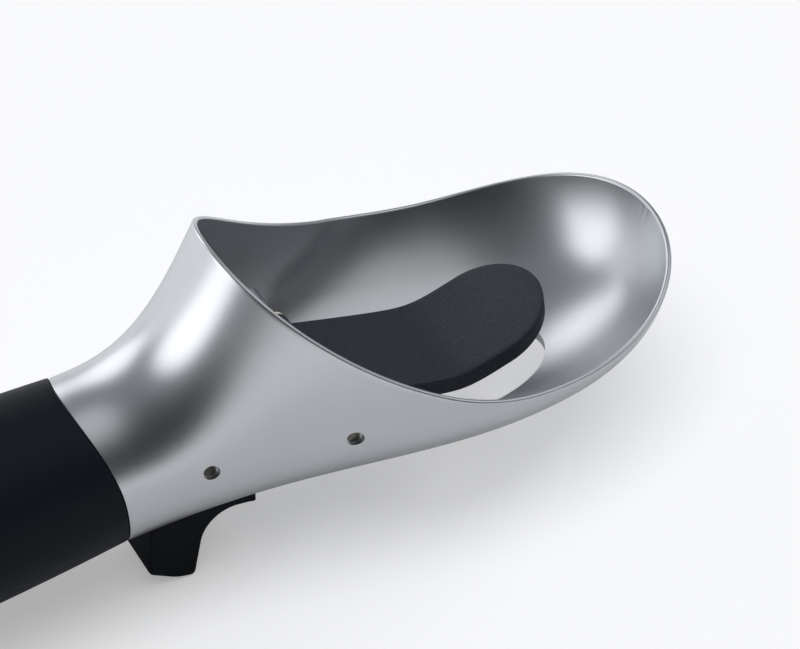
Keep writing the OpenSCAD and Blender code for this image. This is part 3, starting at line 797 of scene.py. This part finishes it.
# %% The blade
PADDLE_W = 22.7
PADDLE_T = 3.6
PADDLE_LEN = 47.1
BEND_X = 26.2
BEND_DROP = 8.3
FALL = 0.34
RISE = 0.27
BEND_ROUND = 1.3
BLADE_EDGE = 0.4
SIDE_STEPS = 60
TIP_STEPS = 48
ROUND_STEPS = 4
CLOSE_STEPS = 14


def blade_top(x):
    """The height of the blade's top: two slopes with a hyperbola between them."""
    along = x - PADDLE_PIN[0] - BEND_X
    fall, rise = -FALL * along, RISE * along
    bend = math.sqrt(((fall - rise) / 2) ** 2 + BEND_ROUND ** 2)
    return PADDLE_PIN[1] - BEND_DROP + (fall + rise) / 2 + bend


def stadium(inset):
    """The blade's outline in plan, and the place along the middle line nearest each point."""
    half = PADDLE_W / 2 - inset
    tip = PADDLE_PIN[0] + PADDLE_LEN - PADDLE_W / 2
    places = [mix(PADDLE_PIN[0], tip, k / SIDE_STEPS) for k in range(SIDE_STEPS)]
    angles = [-math.pi / 2 + math.pi * k / TIP_STEPS for k in range(TIP_STEPS + 1)]
    return ([(x, -half, x) for x in places]
            + [(tip + half * math.cos(a), half * math.sin(a), tip) for a in angles]
            + [(x, half, x) for x in places[::-1]])


def blade():
    """Points and faces of the blade, open only inside the hub."""
    rings = []
    for depth, sign in ((0, 1), (PADDLE_T, -1)):
        edge, inner = [], []
        for k in range(ROUND_STEPS + 1):
            a = math.pi / 2 * k / ROUND_STEPS
            sink = sign * BLADE_EDGE * (math.sin(a) - 1)
            edge.append([(x, y, blade_top(x) - depth + sink)
                         for x, y, _ in stadium(BLADE_EDGE * (1 - math.cos(a)))])
        for k in range(1, CLOSE_STEPS + 1):
            share = k / CLOSE_STEPS
            ring = [(mix(x, middle, share), y * (1 - share))
                    for x, y, middle in stadium(BLADE_EDGE)]
            inner.append([(x, y, blade_top(x) - depth) for x, y in ring])
        rings = rings + edge + inner if depth else (edge + inner)[::-1]
    verts = [point for ring in rings for point in ring]
    n = len(rings[0])
    faces = [[r * n + k, r * n + k + 1, (r + 1) * n + k + 1, (r + 1) * n + k]
             for r in range(len(rings) - 1) for k in range(n - 1)]
    return verts, faces


paddle = new_piece("paddle_moulding", *blade(), "ejector", "black_nylon")
print("blade faces:", len(paddle.data.polygons))

# %% [markdown]
# ### The linkage
# Trigger and paddle turn on their own pins. A roller on the trigger runs in a slot in the
# paddle's tail, so the two turn opposite ways. The slot points along the line that the roller
# crosses in the middle of its travel, and it is wide enough for the small difference between
# the real motion and a constant ratio.

# %% Sizes of the linkage
PULL = 12.0
RELEASE = 10.0
ARM_SHARE = 0.6
ROLLER_R = 2.1
SLOT_PLAY = 0.1
TAIL_WALL = 1.7
span_x, span_z = PADDLE_PIN[0] - TRIGGER_PIN[0], PADDLE_PIN[1] - TRIGGER_PIN[1]
span = math.dist(TRIGGER_PIN, PADDLE_PIN)
span_angle = math.degrees(math.atan2(span_z, span_x))
arm = span * ARM_SHARE
tail = span - arm
ratio = arm / tail
mid_pull = (PULL - RELEASE) / 2
half_travel = math.radians((PULL + RELEASE) / 2)
drive_angle = span_angle + mid_pull
slot_angle = span_angle + 180 - ratio * mid_pull
far_x, far_z = span - arm * math.cos(half_travel), arm * math.sin(half_travel)
far_reach = math.hypot(far_x, far_z)
far_angle = math.atan2(far_z, far_x)
slot_half = ROLLER_R + far_reach * math.sin(abs(ratio * half_travel - far_angle)) + SLOT_PLAY
tail_r = slot_half + TAIL_WALL
print("arm", round(arm, 2), "mm, tail", round(tail, 2), "mm, slot", round(2 * slot_half, 2), "mm")

# %% [markdown]
# ### Slabs and hubs
# Tail, lever and cheeks are flat outlines with rounded edges. They could be boxes that are cut
# and bevelled, but Blender's own curves do it in one step, holes too: a filled 2D curve with an
# extrusion and a bevel, turned upright. Hubs are turned solids.

# %% Helpers for slabs and hubs
ARC_STEPS = 24
BEVEL_STEPS = 3
WELD_M = 1e-6
HUB_STEPS = 64
HUB_EDGE = 0.4
SLAB_EDGE = 0.3


def slab(name, outlines, width, rounding, centre_y=0.0):
    """Side-view outlines as a slab across Y: the first is the outside, the rest are holes."""
    curve = bpy.data.curves.new(name, "CURVE")
    curve.dimensions = "2D"
    curve.fill_mode = "BOTH"
    curve.extrude = (width / 2 - rounding) * MM
    curve.bevel_depth = rounding * MM
    curve.offset = -rounding * MM
    curve.bevel_resolution = BEVEL_STEPS
    for outline in outlines:
        line = curve.splines.new("POLY")
        line.points.add(len(outline) - 1)
        for point, (x, z) in zip(line.points, outline):
            point.co = (x * MM, z * MM, 0, 1)
        line.use_cyclic_u = True
    drawn = new_object(name, curve)
    bpy.context.view_layer.update()
    seen = drawn.evaluated_get(bpy.context.evaluated_depsgraph_get())
    mesh = bpy.data.meshes.new_from_object(seen)
    bpy.data.objects.remove(drawn)
    upright = Matrix.Rotation(math.pi / 2, 4, "X")
    mesh.transform(Matrix.Translation((0, centre_y * MM, 0)) @ upright)
    turn_outwards(mesh, weld=WELD_M)
    return new_object(name, mesh)


def hub(name, pin, radius, width):
    """A round hub across Y with rounded ends and a bore for its bushes."""
    outline = [(-width / 2, BUSH_R), (-width / 2, radius - HUB_EDGE)]
    outline += [(-width / 2 + HUB_EDGE * (1 - math.cos(a)),
                 radius - HUB_EDGE + HUB_EDGE * math.sin(a))
                for a in (math.pi / 6, math.pi / 3, math.pi / 2)]
    mirrored = [(-place, r) for place, r in outline[::-1]]
    return solid(name, *lathe(outline + mirrored, (0, 1, 0), (pin[0], 0, pin[1]), HUB_STEPS,
                              closed=True))


def beside(centre, radius, angle):
    """The point in side view at a distance and an angle in degrees from another."""
    return (centre[0] + radius * math.cos(math.radians(angle)),
            centre[1] + radius * math.sin(math.radians(angle)))


def arc(centre, radius, start, end):
    """Points of an arc in side view, angles in degrees."""
    return [beside(centre, radius, mix(start, end, k / ARC_STEPS)) for k in range(ARC_STEPS + 1)]


print("an arc has", len(arc((0, 0), 1, 0, 90)), "points")

# %% The paddle's hub and tail
TAIL_W = 8.0
PADDLE_HUB_R = 3.2


def bar_outline(reach_from, reach_to, radius):
    """A round-ended bar along the slot's line, from one reach to another."""
    near, far = [beside(PADDLE_PIN, reach, slot_angle) for reach in (reach_from, reach_to)]
    return (arc(far, radius, slot_angle - 90, slot_angle + 90)
            + arc(near, radius, slot_angle + 90, slot_angle + 270))


paddle_hub = hub("paddle hub", PADDLE_PIN, PADDLE_HUB_R, PADDLE_W)
tail_outlines = [bar_outline(0, far_reach, tail_r), bar_outline(tail, far_reach, slot_half)]
join(paddle, paddle_hub, slab("paddle tail", tail_outlines, TAIL_W, SLAB_EDGE))
dress(paddle, paddle_black, smooth_angle=50)
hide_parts("ejector_paddle")

# %% [markdown]
# ## 7. The trigger
# The trigger is one moulding: a lever with a hollow for the finger, a hub on its pin, and two
# cheeks that carry the roller's pin. It could be carved from a box by hand. But it is the same
# all the way across, so its outline says everything: a short list of corners, measured from its
# pin, each with its own rounding. The edge of the slab is rounded for the finger.

# %% The lever's outline
HUB_CORNER_X = 2.1
CORNER_STEPS = 12
CORNERS = [
    (10.4, -13.9, 0.3), (9.8, -19.4, 0.3), (0.4, -17.5, 7.0), (-4.0, -30.35, 1.1),
    (-7.4, -29.45, 9.0), (-12.4, -26.15, 1.5), (-10.3, -15.8, 0), (-9.5, -11.0, 1.5),
    (-HUB_CORNER_X, 0, 0), (HUB_CORNER_X, 0, 0),
]


def rounded(corners):
    """An outline whose corners (x, z, radius) are rounded by arcs."""
    points = []
    for k, (x, z, radius) in enumerate(corners):
        if radius == 0:
            points.append((x, z))
            continue
        at = Vector((x, z))
        ahead = (Vector(corners[(k + 1) % len(corners)][:2]) - at).normalized()
        behind = (Vector(corners[k - 1][:2]) - at).normalized()
        half = behind.angle(ahead) / 2
        centre = at + (ahead + behind).normalized() * radius / math.sin(half)
        first = at + behind * radius / math.tan(half) - centre
        last = at + ahead * radius / math.tan(half) - centre
        start = math.atan2(first.y, first.x)
        sweep = math.atan2(first.x * last.y - first.y * last.x, first.dot(last))
        for s in range(CORNER_STEPS + 1):
            a = start + sweep * s / CORNER_STEPS
            points.append((centre.x + radius * math.cos(a), centre.y + radius * math.sin(a)))
    return points


lever_outline = [(TRIGGER_PIN[0] + x, TRIGGER_PIN[1] + z) for x, z in rounded(CORNERS)]
print("lever outline points:", len(lever_outline))

# %% Lever, hub and cheeks
TRIGGER_EDGE = 0.7
TRIGGER_HUB_R = 4.2
CHEEK_T = 3.0
CHEEK_END_R = 3.0
PIN_R = 1.25
PIN_PLAY = 0.01
HOLE_END = 345
trigger = slab("trigger_moulding", [lever_outline], TRIGGER_W, TRIGGER_EDGE)
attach(trigger, "trigger")
drive = beside(TRIGGER_PIN, arm, drive_angle)
lean = math.degrees(math.asin((TRIGGER_HUB_R - CHEEK_END_R) / arm))
upper, lower = drive_angle + 90 - lean, drive_angle - 90 + lean
cheek_outlines = [
    arc(drive, CHEEK_END_R, lower, upper)
    + arc(TRIGGER_PIN, TRIGGER_HUB_R, upper, drive_angle + 270 + lean),
    arc(drive, PIN_R + PIN_PLAY, 0, HOLE_END),
    arc(TRIGGER_PIN, BUSH_R, 0, HOLE_END),
]
cheeks = [slab("cheek", cheek_outlines, CHEEK_T, SLAB_EDGE, side * (TRIGGER_W - CHEEK_T) / 2)
          for side in (-1, 1)]
join(trigger, hub("trigger hub", TRIGGER_PIN, TRIGGER_HUB_R, TRIGGER_W), *cheeks)
dress(trigger, trigger_black, smooth_angle=50)
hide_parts("trigger_lever")

# %% [markdown]
# ## 8. The handle
# The grip is a moulded sleeve on a core tube, a barrel that is thickest in the palm. A cylinder
# with a subdivision surface would look much the same, but its front edge has to follow the
# joint's line exactly. So it is made of rings: its outside is an arc turned about the handle's
# line, and the rings are bent towards the joint. A small rounding stands in front, and the bore
# closes the sleeve.

# %% Grip
HANDLE_LEN = 114.0
FLARE_SLOPE = 0.078
BELLY_X = 52.0
CAP_LEN = 8.0
GRIP_BORE = 12.0
GRIP_EDGE = 0.35
JOINT_GAP = 0.15
GRIP_ROWS = 120
GRIP_STEPS = 160
flare = math.atan(FLARE_SLOPE)
barrel_r = BELLY_X / math.sin(flare)
cap_x = JOINT_X - HANDLE_LEN + CAP_LEN


def barrel(x):
    """The grip's outside radius."""
    rise = np.sqrt(barrel_r ** 2 - (x - JOINT_X + BELLY_X) ** 2)
    return NECK_R - barrel_r * math.cos(flare) + rise


def grip_rings():
    """Rings from the cap's end to the rounded front edge, then back through the bore."""
    angles = [2 * math.pi * k / GRIP_STEPS for k in range(GRIP_STEPS)]
    fronts = [float(joint_line(np.array(NECK_R * math.sin(a)))) - JOINT_GAP for a in angles]
    rings = []
    for i in range(GRIP_ROWS + ROUND_STEPS + 1):
        turned = math.pi / 2 * max(i - GRIP_ROWS, 0) / ROUND_STEPS
        ring = []
        for a, front in zip(angles, fronts):
            x = mix(cap_x, front - GRIP_EDGE, min(i / GRIP_ROWS, 1))
            r = float(barrel(x)) - GRIP_EDGE * (1 - math.cos(turned))
            ring.append((x + GRIP_EDGE * math.sin(turned), r * math.cos(a), r * math.sin(a)))
        rings.append(ring)
    for ends in (fronts, [cap_x] * GRIP_STEPS):
        rings.append([(x, GRIP_BORE * math.cos(a), GRIP_BORE * math.sin(a))
                      for x, a in zip(ends, angles)])
    return rings


grip = new_piece("grip_sleeve", *tube(grip_rings(), closed=True), "head", "black_handle")
print("open edges of the grip:", turn_outwards(grip.data))
dress(grip, handle_black, smooth_angle=60)
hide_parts("handle_grip")

# %% [markdown]
# ## 9. The remaining nodes
# The small pieces, such as pins, bushes, seals and the end cap, are simple turned or bent parts.
# They could be built again with finer curves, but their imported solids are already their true
# shape. So they stay as they are and get the material of their slot.

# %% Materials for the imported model's own pieces
SLOT_MATERIALS = {
    "cast_aluminium": aluminium, "black_handle": handle_black, "black_nylon": trigger_black,
    "natural_nylon": nylon, "black_rubber": rubber, "steel": steel,
}
for part in frame["record"]["subparts"]:
    paint(frame["nodes"][part["node"]], SLOT_MATERIALS[part["material_slot"]])

# %% [markdown]
# ## 10. The floor
# The floor is a plain pale sheet. Lamps alone would have to be very bright to make it white, and
# would bleach the metal. So the sheet has a share of white of its own. The camera sees all of it,
# and reflections see it from where the scoop's shadow ends, so the metal shows floor and shadow.

# %% Floor
FLOOR_Z = -29.0
FLOOR_REACH = 4000
FLOOR_OWN_LIGHT = 0.34
HALF_SHADOW_X = 50.0
SHADOW_REACH = 90.0


def floor_material():
    """A matt white whose own light depends on the kind of ray and the distance to the scoop."""
    material, tree, shader = new_material("pale studio floor", Roughness=0.9,
                                          Base_Color=linear("#F2F2F3"),
                                          Emission_Color=linear("#FAFAFA"))
    place = add(tree, "ShaderNodeTexCoord").outputs["Object"]
    apart = add(tree, "ShaderNodeVectorMath", {0: place}, operation="DISTANCE")
    apart.inputs[1].default_value = (HALF_SHADOW_X * MM, 0, FLOOR_Z * MM)
    far = add(tree, "ShaderNodeMapRange", {"Value": apart.outputs["Value"]},
              From_Min=SHADOW_REACH * MM, From_Max=2 * SHADOW_REACH * MM,
              interpolation_type="SMOOTHSTEP")
    path = add(tree, "ShaderNodeLightPath").outputs
    shown = add(tree, "ShaderNodeMath",
                {0: path["Is Glossy Ray"], 1: path["Is Transmission Ray"]}, operation="ADD")
    beyond = add(tree, "ShaderNodeMath",
                 {0: shown.outputs[0], 1: far.outputs["Result"]}, operation="MULTIPLY")
    either = add(tree, "ShaderNodeMath",
                 {0: beyond.outputs[0], 1: path["Is Camera Ray"]}, operation="MAXIMUM")
    own = add(tree, "ShaderNodeMath", {0: either.outputs[0]}, operation="MULTIPLY")
    own.inputs[1].default_value = FLOOR_OWN_LIGHT
    tree.links.new(own.outputs[0], shader.inputs["Emission Strength"])
    return material


floor_corners = [(FLOOR_REACH * x, FLOOR_REACH * y, FLOOR_Z)
                 for x, y in ((-1, -1), (1, -1), (1, 1), (-1, 1))]
floor = solid("floor", floor_corners, [[0, 1, 2, 3]])
paint(floor, floor_material())
print("floor at", FLOOR_Z, "mm")

# %% [markdown]
# ## 11. Light
# Two wide lamps, one overhead and one low beyond the bowl, light the matt things and throw the
# soft shadow. Satin metal shows whatever stands round it, so it has reflectors of its own, as a
# photographer sets white cards: a large one behind to the left, a tall one behind, a small one
# between them and a dim one beyond the bowl. Cards near the scoop would be real planes that
# also light the floor. A far lamp with a wide angle is as soft as a card, and Blender lets each
# lamp be seen by matt surfaces only or by gloss only.

# %% Lamps and reflectors
def direction(azimuth, elevation):
    """A unit vector towards a direction given in degrees."""
    a, e = math.radians(azimuth), math.radians(elevation)
    return Vector((math.cos(a) * math.cos(e), math.sin(a) * math.cos(e), math.sin(e)))


def soft_sun(name, azimuth, elevation, width, brightness, in_gloss):
    """A far round lamp, this many degrees wide and this bright, where 1 is white.
    It is seen in gloss only, or by matt surfaces only."""
    data = bpy.data.lights.new(name, "SUN")
    data.angle = math.radians(width)
    data.energy = brightness * math.pi * math.sin(math.radians(width / 2)) ** 2
    lamp = new_object(name, data)
    aim = (-direction(azimuth, elevation)).to_track_quat("-Z", "Y")
    lamp.rotation_euler = aim.to_euler()
    lamp.visible_diffuse = not in_gloss
    lamp.visible_glossy = in_gloss


soft_sun("wide lamp overhead", 270, 74, 56, 1.9, in_gloss=False)
soft_sun("low lamp beyond the bowl", 2, 25, 45, 1.85, in_gloss=False)
soft_sun("large reflector behind left", 167, 22, 42, 1.9, in_gloss=True)
soft_sun("small reflector between", 128, 8, 34, 0.8, in_gloss=True)
soft_sun("tall reflector behind", 97, 26, 42, 1.6, in_gloss=True)
soft_sun("dim reflector beyond the bowl", 345, 54, 64, 0.6, in_gloss=True)
print("lamps:", len(bpy.data.lights))

# %% [markdown]
# ### The room
# The room is dim, because bright walls would flatten the metal. It is darkest low down on the
# camera's side, which gives the neck and the hood's inside their dark parts.

# %% Room
DARK_AZIMUTH, DARK_ELEVATION = 264, 14
DARK_FROM, DARK_TO = 0.2, 0.95
ROOM_LIGHT, DARK_LIGHT = 0.25, 0.03


def room():
    """A dim world, darkest towards one direction."""
    world = bpy.data.worlds.new("studio")
    bpy.context.scene.world = world
    world.use_nodes = True
    tree = world.node_tree
    place = add(tree, "ShaderNodeTexCoord").outputs["Generated"]
    facing = add(tree, "ShaderNodeVectorMath", {0: place}, operation="DOT_PRODUCT")
    facing.inputs[1].default_value = direction(DARK_AZIMUTH, DARK_ELEVATION)
    shade = add(tree, "ShaderNodeMapRange", {"Value": facing.outputs["Value"]},
                From_Min=DARK_FROM, From_Max=DARK_TO, To_Min=ROOM_LIGHT, To_Max=DARK_LIGHT,
                interpolation_type="SMOOTHSTEP")
    background = tree.nodes["Background"]
    background.inputs["Color"].default_value = linear("#F4F8FF")
    tree.links.new(shade.outputs["Result"], background.inputs["Strength"])
    return world


print("room:", room().name)
